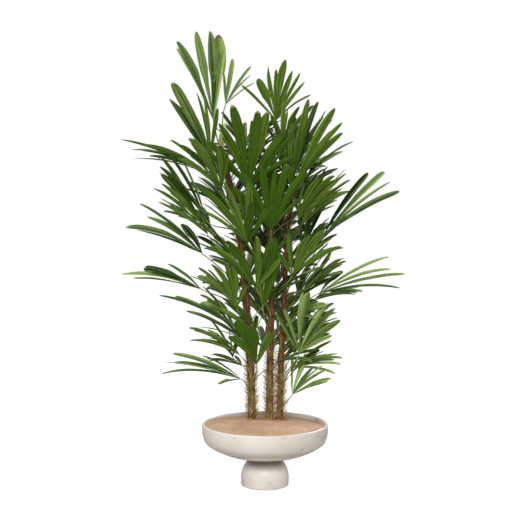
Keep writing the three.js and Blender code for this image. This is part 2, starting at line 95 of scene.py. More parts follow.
# at is the height on the cane and x, y, z the hub. heading, pitch and roll turn the fan. length and width
# are its largest leaflet's.
FIELDS = ("at", "x", "y", "z", "heading", "pitch", "roll", "length", "width", "spread", "leaflets")
FRONDS = {
    "left": [
        [285, -85, 0, 372, 182, 22, -40, 290, 24, 36, 6],
        [305, -82, 90, 405, 172, 23, 0, 170, 26, 90, 6],
        [340, -30, -75, 436, 240, 68, 0, 190, 50, 66, 4],
        [390, -90, 10, 455, 188, 34, 10, 205, 28, 80, 7],
        [430, -90, 150, 500, 130, 32, 0, 240, 30, 100, 7],
        [480, -113, -20, 560, 180, 38, -50, 275, 34, 40, 5],
        [540, -98, -90, 630, 238, 56, 0, 210, 34, 60, 5],
        [560, -97, 48, 626, 184, 44, 0, 215, 32, 76, 7],
        [590, -226, 10, 688, 180, 27, -42, 285, 28, 34, 5],
        [610, -60, 150, 720, 100, 36, 0, 260, 32, 100, 8],
        [650, -222, 0, 814, 180, 37, -52, 280, 32, 38, 5],
        [690, -95, 90, 768, 158, 39, 0, 240, 28, 60, 6],
        [740, -200, -40, 881, 202, 62, 15, 286, 36, 44, 7],
        [790, -195, 100, 890, 156, 39, 0, 265, 32, 80, 7],
        [850, -130, 150, 970, 120, 43, 0, 260, 32, 100, 7],
        [870, -202, -80, 930, 200, 60, -30, 285, 36, 36, 4],
        [930, -150, -120, 1030, 222, 48, 0, 240, 32, 80, 7],
        [960, -182, 0, 1084, 178, 30, 0, 350, 28, 42, 6],
        [1000, -190, -50, 1090, 205, 48, 0, 190, 30, 70, 5],
        [1030, -165, 30, 1090, 180, 65, -60, 372, 44, 15, 3],
        [1060, -80, 120, 1150, 85, 45, 0, 230, 30, 90, 7],
        [1110, -190, -35, 1150, 225, 74, 0, 235, 38, 45, 4],
        [1150, -139, 60, 1341, 0, 68, 75, 168, 24, 72, 5],
        [1175, -180, -20, 1280, 180, 80, -70, 310, 40, 36, 6],
    ],
    "middle": [
        [440, 30, 150, 560, 85, 40, 0, 240, 32, 100, 7],
        [500, -10, -118, 642, 250, 80, 0, 250, 46, 18, 3],
        [580, -30, -140, 700, 240, 56, 0, 250, 32, 90, 7],
        [640, 90, -130, 740, 308, 52, 0, 250, 32, 80, 7],
        [700, 20, 160, 820, 90, 43, 0, 260, 32, 110, 8],
        [730, -60, -140, 850, 235, 56, 0, 260, 32, 90, 7],
        [790, 20, -120, 896, 280, 63, 0, 260, 38, 80, 6],
        [860, 60, 150, 970, 60, 43, 0, 260, 32, 100, 8],
        [930, -55, -130, 1040, 276, 66, 0, 276, 36, 92, 9],
        [1000, 70, 110, 1100, 60, 54, 0, 260, 30, 90, 7],
        [1050, -40, 120, 1120, 120, 51, 0, 240, 30, 90, 7],
        [1110, 60, -50, 1190, 318, 60, 0, 180, 30, 80, 6],
        [1175, 38, -20, 1275, 300, 78, 0, 200, 26, 92, 9],
    ],
    "right": [
        [245, 96, 0, 317, 0, 57, 62, 165, 20, 68, 7],
        [310, 104, 55, 405, 0, 24, 45, 190, 22, 50, 6],
        [350, 119, -40, 470, 0, 72, 60, 215, 30, 88, 8],
        [400, 120, 150, 500, 50, 34, 0, 222, 32, 100, 7],
        [520, 194, 0, 676, 0, 23, 45, 300, 26, 38, 6],
        [540, 173, 70, 640, 12, 26, 0, 200, 26, 60, 6],
        [580, 107, 50, 650, 17, 51, 0, 275, 34, 70, 8],
        [630, 120, 150, 750, 60, 39, 0, 260, 32, 100, 7],
        [690, 204, -30, 876, 0, 47, 55, 290, 32, 32, 5],
        [760, 138, 80, 822, 42, 56, 0, 175, 26, 60, 5],
        [800, 150, 150, 920, 42, 43, 0, 225, 32, 90, 7],
        [830, 119, -15, 901, 335, 51, 10, 278, 32, 85, 9],
        [870, 112, -90, 930, 322, 48, 0, 220, 36, 60, 5],
        [900, 110, 130, 1010, 80, 48, 0, 260, 32, 90, 7],
        [960, 90, -60, 1024, 315, 70, 0, 330, 34, 60, 8],
        [985, 152, 50, 1093, 10, 50, 20, 222, 30, 32, 4],
        [1000, 119, 80, 1116, 55, 73, 0, 270, 30, 56, 5],
    ],
}

# -------- what the looks add

# leaflets
LEAF_AT = np.array(
    [0, 0.05, 0.11, 0.18, 0.25, 0.33, 0.41, 0.49, 0.57, 0.65, 0.72, 0.79, 0.85, 0.9, 0.94, 0.97, 0.988, 1]
)  # shares of its length
ACROSS = np.array([-1, -0.64, -0.3, 0, 0.3, 0.64, 1])  # shares of its half width
PLEAT = np.array([0.2, -1, 0.7, -0.4, 0.7, -1, 0.2])
PLEAT_DEPTH = 0.09  # of its half width
# light and dark strips across a leaflet: painted highlight and shade along its pleats
PLEAT_SHADE_STREAKS = np.array([[1, 1, 0, 0, -1, 0], [0, -1, 0, 0, 1, 1], [0, 0, 1, -1, 0, 0], [0, 1, -1, -1, 1, 0]])
PLEAT_SHADE_DEPTH = 0.17  # of the range of tones
OUTLINE_AT = [0, 0.06, 0.15, 0.3, 0.45, 0.6, 0.74, 0.86, 0.93, 0.975, 1]
POINTED = np.array([0.14, 0.26, 0.46, 0.78, 0.96, 1, 0.92, 0.72, 0.48, 0.26, 0.06])
BLUNT = np.array([0.14, 0.26, 0.44, 0.74, 0.93, 1, 0.98, 0.92, 0.82, 0.62, 0.36])
LEAF_HALF_THICKNESS = 0.2
LEAF_STEPS = 48
LEAF_STRAY = (0.045, 0.08)  # of its direction, in its fan and out of it
LEAF_SHORTER = 0.28  # at most
LEAF_WIDENING = (0.69, 1.26)
LEAF_BANK = 17  # degrees, turned about its middle
LEAF_TWIST = 9
LEAF_SWAY = 0.022  # of its length
LEAF_FOLD = (18, 46)  # degrees
BROAD = {26: 1.1}  # fronds whose leaflets are wider still and all of full length
# The outer fans that show leaflet by leaflet: how each leaflet is turned in its fan, in degrees, lengthened
# and widened.
SHAPED = {
    1: ((-13, 0.4, 0.9), (4, 1.04, 0.75), (2, 1.02, 0.85), (1, 0.86, 0.75), (-1, 1, 0.8), (8, 0.75, 0.5)),
    3: ((0, 0.97, 1), (0, 0.9, 1.1), (0, 0.95, 1.15), (8, 0.95, 1.4)),
    6: ((17, 1.27, 0.6), (14, 0.83, 0.65), (10, 0.52, 1.1), (20, 0.55, 1.4), (8, 0.5, 1.3)),
    9: ((0, 1.12, 0.75), (2, 1.08, 1), (-9, 0.78, 1), (-10, 0.83, 0.9), (4, 0.72, 0.9)),
    11: ((0, 1.1, 0.7), (5.5, 1.07, 1), (6, 0.81, 1.2), (4, 1.05, 0.65), (12, 0.6, 1.3)),
    13: (
        (0, 0.76, 0.9), (0, 0.95, 0.9), (0, 1.17, 1.25), (0, 0.95, 0.8), (0, 0.84, 0.9), (0, 0.75, 0.7),
        (0, 0.72, 0.8),
    ),
    20: ((5, 1.13, 1.15), (2, 1.03, 0.95), (0, 0.9, 0.6)),
    22: ((0, 1, 0.8), (-4, 0.92, 0.9), (-7, 0.98, 1), (-5, 0.9, 0.8)),
    23: ((8, 0.94, 0.6), (-1, 1.05, 1), (9, 1, 0.6), (-8, 0.82, 0.45), (-9, 1, 0.4)),
    24: (
        (5, 1.18, 1.4), (-1.3, 0.93, 0.7), (1, 0.97, 0.8), (4, 0.98, 1.6), (2.5, 0.98, 1.75), (-2, 1, 0.9),
    ),
    33: (
        (0, 0.87, 1), (0, 0.94, 1), (0, 0.8, 1), (4, 1.05, 1.15), (-6, 0.93, 1.1), (-2, 1.15, 1.15),
        (0, 0.92, 1), (0, 0.93, 1), (0, 0.95, 1),
    ),
    34: ((0, 1, 1), (0, 0.95, 1), (0, 1, 1), (0, 1, 1), (0, 0.84, 1), (0, 0.7, 0.8), (0, 0.6, 0.8)),
    37: (
        (-5, 1.04, 0.6), (-4, 1.04, 0.65), (-1, 1, 0.65), (6, 0.94, 0.9), (2, 1.02, 1.5), (-4, 0.85, 0.8),
        (-9, 0.96, 1.3), (-11, 0.86, 1.4), (-2, 1.1, 0.8),
    ),
    42: ((-17, 0.6, 1.2), (-2, 1, 0.8), (-5, 0.91, 0.8), (6, 1.05, 0.8), (5, 1, 0.8), (-2, 0.65, 0.9)),
    46: ((-2, 1.14, 1.1), (5.5, 1.09, 0.9), (1, 1.02, 0.8), (2.5, 1.17, 0.8), (-6, 0.8, 0.8)),
    52: (
        (0, 0.7, 0.8), (0, 0.98, 0.9), (0, 0.89, 1), (0, 1, 1), (0, 1, 1), (0, 0.9, 1), (0, 0.87, 1),
        (0, 0.96, 1),
    ),
    53: ((0, 0.5, 0.8), (0, 0.5, 0.8), (3, 0.7, 0.9), (1, 1.08, 0.9)),
}
# fronds whose leaflets are all lengthened and widened alike
FITTED = {
    2: (0.85, 0.8), 10: (0.9, 1), 12: (0.88, 1), 14: (0.85, 1), 18: (1, 1.2), 27: (0.9, 1), 28: (0.9, 1),
    38: (1, 0.9), 44: (0.9, 1), 48: (0.88, 1),
}
LONE = (1, 3, 6, 9, 11, 20, 22, 23, 24, 26, 37, 42, 46, 53)  # fronds without narrow leaflets between
SIBLINGS = 0.45  # share of the gaps between two leaflets that hold a narrow one
SIBLING_SIZE = (0.9, 0.45)  # length and width beside its neighbours'
# how much lighter a frond's leaflets are than by the rule, as a share of the tones: partly each fan's own
# tone, partly painted light and shade, such as painted backlight on frond 23
PALE_AND_LIT = {
    3: -0.24, 8: 0.12, 9: -0.07, 11: -0.26, 12: 0.08, 23: 0.5, 24: 0.13, 26: -0.12, 27: -0.06, 30: -0.2,
    31: -0.17, 33: -0.06, 38: 0.18, 39: 0.2, 40: 0.22, 42: 0.02, 46: -0.16, 48: 0.08, 49: 0.06, 50: 0.08,
    53: 0.08,
}

# fronds that fill the crown between those of the source: how many on each cane, from what height up, and
# how long
INNER = {"left": (17, 300, 1), "middle": (16, 350, 0.95), "right": (16, 300, 0.84)}
GOLDEN_ANGLE = 137.5

# canes
CANE_COAT = {"left": -0.3, "middle": -0.8, "right": -1.7}  # added to the radius of each
CANE_ROW = 1.7  # between two rings of points
CANE_SIDES = 64
SHEATH = 46  # mean height between the edges of two leaf sheaths
STRANDS = 8  # each way round in the fibre lattice
STRAND_PITCH = 130
SHEATH_RISE, STRAND_RISE, FIBRE_RISE = 1.1, 1.2, 0.5

# bristles
BRISTLE_ROWS = 6.5  # mm apart
BRISTLES_ROUND = 14
BRISTLE_LENGTH = (18, 36)
BRISTLE_THICKNESS = (0.8, 1.35)
CROWDED_BELOW, THIN_ABOVE = 360, 520
THINNED = 0.22  # share that is left above

# pot and sand
BOWL_SIDES = 176
PEDESTAL_SIDES = 144
SAND_SIDES = 168
SAND_RINGS = 84
GRAIN_COUNT = 520

# short cracks in the bowl: distance from the axis, degrees round it, height and reach
CRACKS = [
    (213, -56, 165, 10), (221, -74, 212, 8), (220, -52, 209, 8), (221, -37, 206, 13), (220, -29, 186, 9),
    (217, -8, 216, 9), (211, 27, 209, 17), (220, -118, 207, 6), (221, 62, 200, 11), (219, 140, 184, 10),
]

# Base colours, as sRGB from 0 to 255.
LEAF_DARK = (14, 35, 4)
LEAF_LIGHT = (172, 198, 112)
LEAF_TONES = 17
MIDDLE_DARK = 0.115  # the share of the tones at which the rule's own range begins
UNDER_DARK = (64, 94, 22)
UNDER_LIGHT = (164, 188, 98)
UNDER_TONES = 5
PETIOLE_GREEN = (138, 150, 82)
PETIOLE_FOOT = (118, 104, 56)
TIP_PALE = (150, 158, 96)
TIP_BROWN = (110, 96, 66)
BRISTLES = ((208, 184, 140), (176, 144, 100), (136, 104, 66))
STRAND = ((196, 162, 98), (156, 114, 70))  # low on the cane and high
# between the strands: darker bark, with painted shade in the recesses
HOLLOW_BARK_AND_SHADE = ((82, 62, 26), (62, 42, 22))
FIBRE_DARK = (84, 62, 34)
BLOTCH = (62, 44, 24)
MOSS = (136, 124, 66)
BOWL_STONE = ((219, 212, 203), (210, 202, 191))
# the pedestal's stone is the bowl's, painted lighter: painted light on the pedestal
PEDESTAL_STONE_PAINTED_LIT = ((249, 243, 235), (243, 235, 225))
STONE_CLOUD = (204, 193, 180)
CRACK_DARK = (104, 88, 74)
# painted shade in the crease where the bowl meets the pedestal
SEAM_SHADE = (88, 76, 62)
SAND = ((213, 179, 149), (192, 156, 127))
SAND_PATCH = (184, 146, 116)
# painted shade towards the back of the sand
SAND_BACK_SHADE = (158, 122, 94)
SAND_SPECK = (168, 132, 104)
SAND_FLECK = (112, 84, 62)
GRAINS = {"pale": (226, 198, 168), "dark": (150, 112, 84)}

# the floor as other surfaces meet it, and as the camera does
FLOOR_BOUNCE = (0.5, 0.485, 0.46)
FLOOR_LIT = (0.28, 0.28, 0.28)
FLOOR_GLOW = 0.86
FLOOR_REACH = 20

# name, place, target, size, watts, and whether gloss and matt surfaces take its light
LIGHTS = [
    ("front", (-0.1, -3.5, 1.9), (0, 0, 0.15), (2.6, 0.8), 76, False, True),
    ("shine", (0, -3.5, 1.9), (0, 0, 0.15), (1, 0.4), 11, True, False),
    ("low", (0.4, -3.4, 0.45), (0, 0, 0.1), (2.4, 0.8), 12, False, True),
    ("back", (1.6, 2.8, 2.6), (0, 0, 0.9), (2.2, 1.6), 52, True, True),
]
SUN_FROM = (-0.9, -1.5, 2.6)
SUN_WIDTH = 20  # degrees
SUN_STRENGTH = 1.7
SKY = {"": 0.26, "Is Glossy Ray": 0.75, "Is Camera Ray": 1}  # strength for each kind of ray

CAMERA_AT = (-0.0315, -3.3, 0.887)
CAMERA_TARGET = (-0.0315, 0, 0.804)
FOCAL = 942.86 / 512  # of the picture's width
FILM = 36


def chance(a, b, c):
    """The same number from 0 to 1 each time for the same three numbers."""
    x = math.sin(a * 12.9898 + b * 78.233 + c * 37.719) * 43758.5453
    return x - math.floor(x)


def mix(a, b, share):
    return a + (b - a) * share


def smooth(low, high, x):
    """0 below low, 1 above high and a soft step between."""
    t = np.clip((np.asarray(x, float) - low) / (high - low), 0, 1)
    return t * t * (3 - 2 * t)


def unit(v):
    return v / np.linalg.norm(v, axis=-1, keepdims=True)


def turned(v, axis, degrees):
    """A direction turned about an axis."""
    angle = np.radians(degrees)
    c, s = np.cos(angle), np.sin(angle)
    return v * c + np.cross(axis, v) * s + axis * (axis @ v) * (1 - c)


def beside(way, up):
    """What lies across and over a line that goes this way, with up on its upper side."""
    side = unit(np.cross(way, up))
    return side, np.cross(side, way)


def flat(degrees):
    """The level direction that heads so many degrees round from +X."""
    return np.array([math.cos(math.radians(degrees)), math.sin(math.radians(degrees)), 0.0])


def raised(heading, pitch):
    way = flat(heading) * math.cos(math.radians(pitch))
    way[2] = math.sin(math.radians(pitch))
    return way


def noise_at(x, y, z):
    """Smooth noise at each place of three arrays."""
    x, y, z = np.broadcast_arrays(x, y, z)
    found = [noise.noise(Vector(place)) for place in zip(x.ravel(), y.ravel(), z.ravel())]
    return np.reshape(found, x.shape)


# -------- meshes from arrays


def added(name, data):
    """A new object in the scene."""
    made = bpy.data.objects.new(name, data)
    bpy.context.collection.objects.link(made)
    return made


class Mesh:
    """Points and faces of one piece, gathered grid by grid, with a material slot for each face."""

    def __init__(self):
        self.points, self.quads, self.slots, self.count = [], [], [], 0

    def grid(self, points, slots=0, closed=False):
        """A rows x columns grid of points. closed joins the last column to the first."""
        rows, columns = points.shape[:2]
        index = np.arange(rows * columns).reshape(rows, columns)
        if closed:
            index = np.concatenate([index, index[:, :1]], 1)
        quads = np.stack([index[:-1, :-1], index[:-1, 1:], index[1:, 1:], index[1:, :-1]], -1)
        slots = np.broadcast_to(slots, quads.shape[:2])
        self.faces(points.reshape(-1, 3), quads.reshape(-1, 4), slots.ravel())
        return index + self.count - rows * columns

    def faces(self, points, quads, slots):
        self.points.append(points)
        self.quads.append(quads + self.count)
        self.slots.append(np.broadcast_to(slots, len(quads)))
        self.count += len(points)

    def between(self, quads, slots):
        """Faces between points that are there already. A corner given twice makes a triangle."""
        self.quads.append(np.asarray(quads))
        self.slots.append(np.broadcast_to(slots, len(quads)))

    def shut(self, index, first=0, last=0):
        """Strips across the first and last ring of a closed grid, in material slots of their own."""
        sides = index.shape[1] - 1
        for row, slot, corners in ((index[0], first, [0, 3, 2, 1]), (index[-1], last, [0, 1, 2, 3])):
            for k in range(1, (sides + 1) // 2):
                strip = row[[k - 1, k, sides - k - 1, sides - k]]
                self.between([strip[corners]], slot)

    def make(self, name, materials, slot, sharp=60, uv=None, relief_shade=None):
        """The piece, riding on the one body. Edges past sharp degrees are sharp, or none if it is 0."""
        mesh = bpy.data.meshes.new(name)
        quads = np.concatenate(self.quads).tolist()
        faces = [list(dict.fromkeys(quad)) for quad in quads]
        mesh.from_pydata((np.concatenate(self.points) * MM).tolist(), [], faces)
        for material in materials:
            mesh.materials.append(material)
        mesh.polygons.foreach_set("material_index", np.concatenate(self.slots).astype(np.int32))
        mesh.shade_smooth()
        if sharp:
            mesh.set_sharp_from_angle(angle=math.radians(sharp))
        if relief_shade is not None:
            held = mesh.attributes.new("relief_shade", "FLOAT", "POINT")
            held.data.foreach_set("value", relief_shade.ravel().astype(np.float32))
        mesh.update()
        piece = added(name, mesh)
        if uv is not None:
            corners = np.empty(len(mesh.loops), np.int32)
            mesh.loops.foreach_get("vertex_index", corners)
            layer = mesh.uv_layers.new(name="OFBake")
            layer.uv.foreach_set("vector", uv(corners).astype(np.float32).ravel())
        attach(piece, "root")
        return piece


# -------- materials


def linear(colour):
    """A colour from sRGB, 0 to 255, as the shader takes it."""
    c = np.array(colour, float) / 255
    return tuple(np.where(c <= 0.04045, c / 12.92, ((c + 0.055) / 1.055) ** 2.4))


def plain(name, colour, roughness, specular=0.5):
    """A material of one colour."""
    made = bpy.data.materials.new(name)
    made.use_nodes = True
    sockets = made.node_tree.nodes["Principled BSDF"].inputs
    sockets["Base Color"].default_value = (*linear(colour), 1)
    sockets["Roughness"].default_value = roughness
    sockets["Specular IOR Level"].default_value = specular
    return made


class Nodes:
    """Short names for making and linking the nodes of one material or world."""

    def __init__(self, owner, clear=False):
        owner.use_nodes = True
        self.tree = owner.node_tree
        if clear:
            self.tree.nodes.clear()
        self.place = self.add("TexCoord", {}, "Object")

    def add(self, kind, inputs, output=0, **settings):
        """An output of a new node. Each input is a socket to link or a value."""
        node = self.tree.nodes.new("ShaderNode" + kind)
        for key, value in settings.items():
            setattr(node, key, value)
        for key, value in inputs.items():
            self.put(value, node.inputs[key])
        return node.outputs[output] if node.outputs else None

    def put(self, value, target):
        if isinstance(value, bpy.types.NodeSocket):
            self.tree.links.new(value, target)
        else:
            target.default_value = value

    def give(self, name, value):
        """A value for one of the material's own sockets."""
        self.put(value, self.tree.nodes["Principled BSDF"].inputs[name])

    def noise(self, scale, detail=3, rough=0.5, distortion=0, place=None):
        shape = {"Scale": scale, "Detail": detail, "Roughness": rough, "Distortion": distortion}
        return self.add("TexNoise", {"Vector": place or self.place, **shape}, "Fac")

    def stretched(self, scale):
        return self.add("Mapping", {"Vector": self.place, "Scale": scale}, "Vector")

    def voronoi(self, scale, feature="F1", place=None):
        inputs = {"Vector": place or self.place, "Scale": scale}
        return self.add("TexVoronoi", inputs, "Distance", feature=feature)

    def bent(self, amount, scale):
        """The place, pushed about by noise."""
        wobble = self.add("TexNoise", {"Vector": self.place, "Scale": scale}, "Color")
        inputs = {0: wobble, 1: (amount,) * 3, 2: self.place}
        return self.add("VectorMath", inputs, "Vector", operation="MULTIPLY_ADD")

    def axis(self, name):
        """The place along X, Y or Z."""
        return self.add("SeparateXYZ", {0: self.place}, name)

    def step(self, value, low, high):
        """0 below low, 1 above high and a soft step between."""
        inputs = {"Value": value, "From Min": low, "From Max": high}
        return self.add("MapRange", inputs, "Result", interpolation_type="SMOOTHSTEP")

    def fall(self, value, low, high):
        """1 below low, 0 above high."""
        return self.math("SUBTRACT", 1, self.step(value, low, high))

    def math(self, operation, a, b=0):
        return self.add("Math", {0: a, 1: b}, operation=operation)

    def times(self, a, b):
        return self.math("MULTIPLY", a, b)

    def blend(self, share, a, b):
        """Two colours mixed. Each is a socket or sRGB from 0 to 255."""
        a, b = ((*linear(c), 1) if isinstance(c, tuple) else c for c in (a, b))
        # of the node's sockets, 6 and 7 take colours and 2 gives one
        return self.add("Mix", {0: share, 6: a, 7: b}, 2, data_type="RGBA")

    def lay(self, colour, body, most, value, low, high):
        """A colour laid over the body where a value is high, mixed in by so much at most."""
        return self.blend(self.times(self.step(value, low, high), most), body, colour)

    def roughness(self, value, low, high):
        inputs = {"Value": value, "To Min": low, "To Max": high}
        self.give("Roughness", self.add("MapRange", inputs, "Result"))

    def bump(self, height, strength, distance):
        inputs = {"Height": height, "Strength": strength, "Distance": distance}
        self.give("Normal", self.add("Bump", inputs, "Normal"))


def stone_material(name, pale, dull, seam_shade, seam_shade_reach):
    """Polished pale stone: faint clouds, hardly any grain, a few short cracks and painted shade in the
    crease where the bowl sits on the pedestal.
    """
    made = plain(name, pale, 0.2)
    n = Nodes(made)
    body = n.blend(n.step(n.noise(6, 4), 0.35, 0.7), pale, dull)
    body = n.lay(STONE_CLOUD, body, 0.5, n.noise(34, 4, 0.6), 0.55, 0.8)
    line = n.fall(n.voronoi(90, "DISTANCE_TO_EDGE", n.bent(0.02, 60)), 0.015, 0.07)
    patch = 0.0
    for radius, degrees, z, size in CRACKS:
        x, y = flat(degrees)[:2] * radius
        inputs = {0: n.place, 1: (x * MM, y * MM, z * MM)}
        gone = n.add("VectorMath", inputs, "Value", operation="DISTANCE")
        patch = n.math("MAXIMUM", n.fall(gone, 0.7 * size * MM, size * MM), patch)
    crack = n.times(line, patch)
    body = n.blend(n.times(crack, 0.7), body, CRACK_DARK)
    # painted shade: darker close to the height where the bowl sits on the pedestal
    from_seam = n.math("ABSOLUTE", n.math("SUBTRACT", n.axis("Z"), PEDESTAL_HEIGHT * MM))
    body = n.blend(n.times(n.fall(from_seam, 0, seam_shade_reach), seam_shade), body, SEAM_SHADE)
    n.give("Base Color", body)
    n.roughness(n.noise(20), 0.14, 0.26)
    grain = n.math("ADD", n.times(n.noise(240, 2), 0.15), n.times(crack, -1))
    n.bump(grain, 0.15, 0.0005)
    return made


def sand_material():
    """Fine beige sand with darker patches and small dark flecks, and painted shade towards the back."""
    made = plain("sand_look", SAND[0], 0.95)
    n = Nodes(made)
    body = n.blend(n.step(n.noise(9, 4, 0.6), 0.35, 0.65), *SAND)
    body = n.lay(SAND_PATCH, body, 0.6, n.noise(34, 4, 0.6), 0.46, 0.66)
    # painted shade: the sand darker towards the back
    body = n.lay(SAND_BACK_SHADE, body, 0.4, n.axis("Y"), -0.08, 0.08)
    grain = n.noise(900, 2, 0.7)
    body = n.lay(SAND_SPECK, body, 0.45, grain, 0.5, 0.68)
    fleck = n.fall(n.voronoi(150), 0.16, 0.26)
    patch = n.step(n.noise(28, 3, 0.6), 0.5, 0.62)
    body = n.blend(n.times(n.times(fleck, patch), 0.7), body, SAND_FLECK)
    n.give("Base Color", body)
    n.bump(n.math("ADD", n.times(grain, 0.6), n.noise(260)), 0.6, 0.0012)
    return made


def bark_material(name):
    """Fibre over bark: golden low on the cane, red-brown higher up, dark between the strands, as darker
    bark with painted shade in the recesses, and a painted shadow at each sheath's edge.
    """
    made = plain(name, STRAND[0], 0.85, 0.2)
    n = Nodes(made)
    relief_shade = n.add("Attribute", {}, "Fac", attribute_name="relief_shade", attribute_type="GEOMETRY")
    up = n.step(n.axis("Z"), 0.3, 0.62)
    # darker where the relief is low: the bark between the strands, with painted shade in the recesses and a
    # painted shadow at the sheath edges
    body = n.blend(n.step(relief_shade, 0.2, 0.75), n.blend(up, *HOLLOW_BARK_AND_SHADE), n.blend(up, *STRAND))
    fibre = n.noise(60, 4, 0.65, 0.4, n.stretched((7, 7, 0.9)))
    body = n.lay(FIBRE_DARK, body, 0.5, fibre, 0.42, 0.62)
    blotch = n.noise(60, 4, 0.65, 0.3, n.stretched((2.2, 2.2, 0.5)))
    body = n.lay(BLOTCH, body, 0.6, blotch, 0.5, 0.6)
    body = n.lay(MOSS, body, 0.4, n.noise(24), 0.54, 0.66)
    n.give("Base Color", body)
    n.roughness(fibre, 0.7, 0.95)
    n.bump(fibre, 0.6, 0.001)
    return made


def tones(name, dark, light, count, roughness, specular):
    """Plain greens from dark to light."""
    greens = np.linspace(dark, light, count)
    return [plain(f"{name}_{k}", green, roughness, specular) for k, green in enumerate(greens)]


# -------- pot


def bezier(points, shares):
    """Points of a Bezier curve of any order, at shares of its way."""
    points = np.array(points, float)
    t = np.asarray(shares, float)[:, None]
    order = len(points) - 1
    return sum(math.comb(order, k) * t**k * (1 - t) ** (order - k) * p for k, p in enumerate(points))


def beziers(*curves):
    """Bezier curves end to end. Each is given as its points and its steps."""
    rows = [bezier(points, np.linspace(0, 1, steps + 1)) for points, steps in curves]
    return np.concatenate([rows[0], *(row[1:] for row in rows[1:])])


def bowl_curve(inset, steps):
    """The bowl's profile from its axis to where it stands upright, moved in from its outside."""
    base = PEDESTAL_HEIGHT + GAP + inset
    shoulder = (RIM_RADIUS - SHOULDER_INSET - 0.75 * inset, PEDESTAL_HEIGHT + SHOULDER_RISE + 0.65 * inset)
    upright = (RIM_RADIUS - inset, RIM_HEIGHT - UPRIGHT_BELOW_RIM)
    above = (shoulder[0] + 9, shoulder[1] + 10)
    return beziers(
        ([(0.5, base), (NECK_RADIUS, base)], steps // 4),
        ([(NECK_RADIUS, base), (108, base + 1.5), (174 - 0.8 * inset, base + 24), shoulder], steps),
        ([shoulder, above, (upright[0] - 0.5, upright[1] - 16), upright], steps // 2),
    )


def angles(sides):
    return np.linspace(0, 2 * math.pi, sides, endpoint=False)


def revolved(profile, sides):
    """Rings of points: a profile of (radius, height) rows turned round +Z."""
    height = np.broadcast_to(profile[:, 1:], (len(profile), sides))
    return np.stack([profile[:, :1] * f(angles(sides)) for f in (np.cos, np.sin)] + [height], -1)


def round_map(sides, rows):
    """UV of a closed grid: round it across, along it up. Faces beyond the grid lie in one corner."""

    def uv(corners):
        column, row = corners % sides, corners // sides
        number = np.arange(len(corners))
        wrapped = (number < 4 * sides * (rows - 1)) & (number % 4 % 3 != 0) & (column == 0)
        return np.stack([np.where(wrapped, 1.0, column / sides), row / (rows - 1)], -1)

    return uv


def ringed(name, points, material, slot, sharp=60, relief_shade=None):
    """A piece made of rings of points, shut at both ends."""
    mesh = Mesh()
    mesh.shut(mesh.grid(points, closed=True))
    rings, sides = points.shape[:2]
    return mesh.make(name, [material], slot, sharp, round_map(sides, rings), relief_shade)


def make_bowl(material):
    way = np.linspace(0, math.pi, 13)
    half = WALL / 2
    lip = [RIM_RADIUS - half, RIM_HEIGHT - half] + half * np.stack([np.cos(way), np.sin(way)], -1)
    profile = np.concatenate([bowl_curve(0, 32), lip, bowl_curve(WALL, 24)[::-1]])
    return ringed("stone_bowl", revolved(profile, BOWL_SIDES), material, "stone")


def make_pedestal(material):
    h, r = PEDESTAL_HEIGHT, PEDESTAL_RADIUS
    foot, low = (r - EDGE_ROUND, 0), (r, EDGE_ROUND * 1.4)
    profile = beziers(
        ([(0.5, 0), foot], 4),
        ([foot, (r, 0), low], 8),
        ([low, (r, h * 0.3)], 8),
        ([(r, h * 0.3), (r, h * 0.57), (NECK_RADIUS + 15, h * 0.84), (NECK_RADIUS, h)], 24),
        ([(NECK_RADIUS, h), (0.5, h)], 4),
    )
    return ringed("stone_pedestal", revolved(profile, PEDESTAL_SIDES), material, "stone")


def sand_height(x, y):
    share = np.hypot(x, y) / RIM_RADIUS
    slope = SAND_SLOPE * (x + y) / (RIM_RADIUS * math.sqrt(2))
    wave = SAND_WAVE * np.sin(x / 31 + 1.3) * np.cos(y / 24 - 0.4)
    return SAND_EDGE + SAND_MOUND * (1 - share * share) - slope + wave * (1 - share**4)


def sand_top(x, y):
    """The source's sand with soft rake marks, fine unevenness and a little heap at each cane's foot."""
    height = sand_height(x, y)
    share = np.hypot(x, y) / RIM_RADIUS
    fade = 1 - share**6
    bend = 9 * np.sin(x / 47 + 0.6) + 6 * np.sin(y / 39 + 2.1)
    rake = np.sin((y * 0.93 + x * 0.36 + bend) / 7.2)
    height = height + fade * 0.55 * rake * smooth(-0.2, 0.5, np.sin(x / 63 + 1) * np.cos(y / 71 + 0.3))
    fine = noise_at(x / 13, y / 13, 0.7) + 0.5 * noise_at(x / 5, y / 5, 3.1)
    height = height + fade * 1.5 * fine
    for radius, line in CANES.values():
        gone = np.hypot(x - line[0][0], y - line[0][1]) / (radius * 2.1)
        height = height + 3.2 * np.exp(-gone * gone)
    return height


def make_sand(material):
    under = bowl_curve(WALL + GAP, 12)[:-2]
    share = np.linspace(1, 0.004, SAND_RINGS)[:, None]
    x, y = ((RIM_RADIUS - WALL - 0.25) * share * f(angles(SAND_SIDES)) for f in (np.cos, np.sin))
    points = np.concatenate([revolved(under, SAND_SIDES), np.stack([x, y, sand_top(x, y)], -1)])
    return ringed("sand_bed", points, material, "sand", sharp=0)


def make_grains(materials):
    """Coarse grains that lie on the sand."""
    rng = np.random.default_rng(5)
    mesh = Mesh()
    corners = np.array([[1, 0, 0], [0, 1, 0], [-1, 0, 0], [0, -1, 0], [0, 0, 1], [0, 0, -1]])
    ring = [(k, (k + 1) % 4) for k in range(4)]
    tris = np.array([[a, b, 4, a] for a, b in ring] + [[b, a, 5, b] for a, b in ring])
    for _ in range(GRAIN_COUNT):
        radius = (RIM_RADIUS - WALL - 5) * math.sqrt(rng.random())
        angle = rng.random() * 2 * math.pi
        x, y = radius * math.cos(angle), radius * math.sin(angle)
        size = rng.uniform(0.5, 1.3) * rng.uniform(0.7, 1.3, 3)
        points = corners * size + rng.normal(size=(6, 3)) * 0.12 + [x, y, sand_top(x, y) + 0.15]
        mesh.faces(points, tris, rng.integers(len(materials)))
    return mesh.make("sand_grains", materials, "sand", sharp=0)


# -------- canes


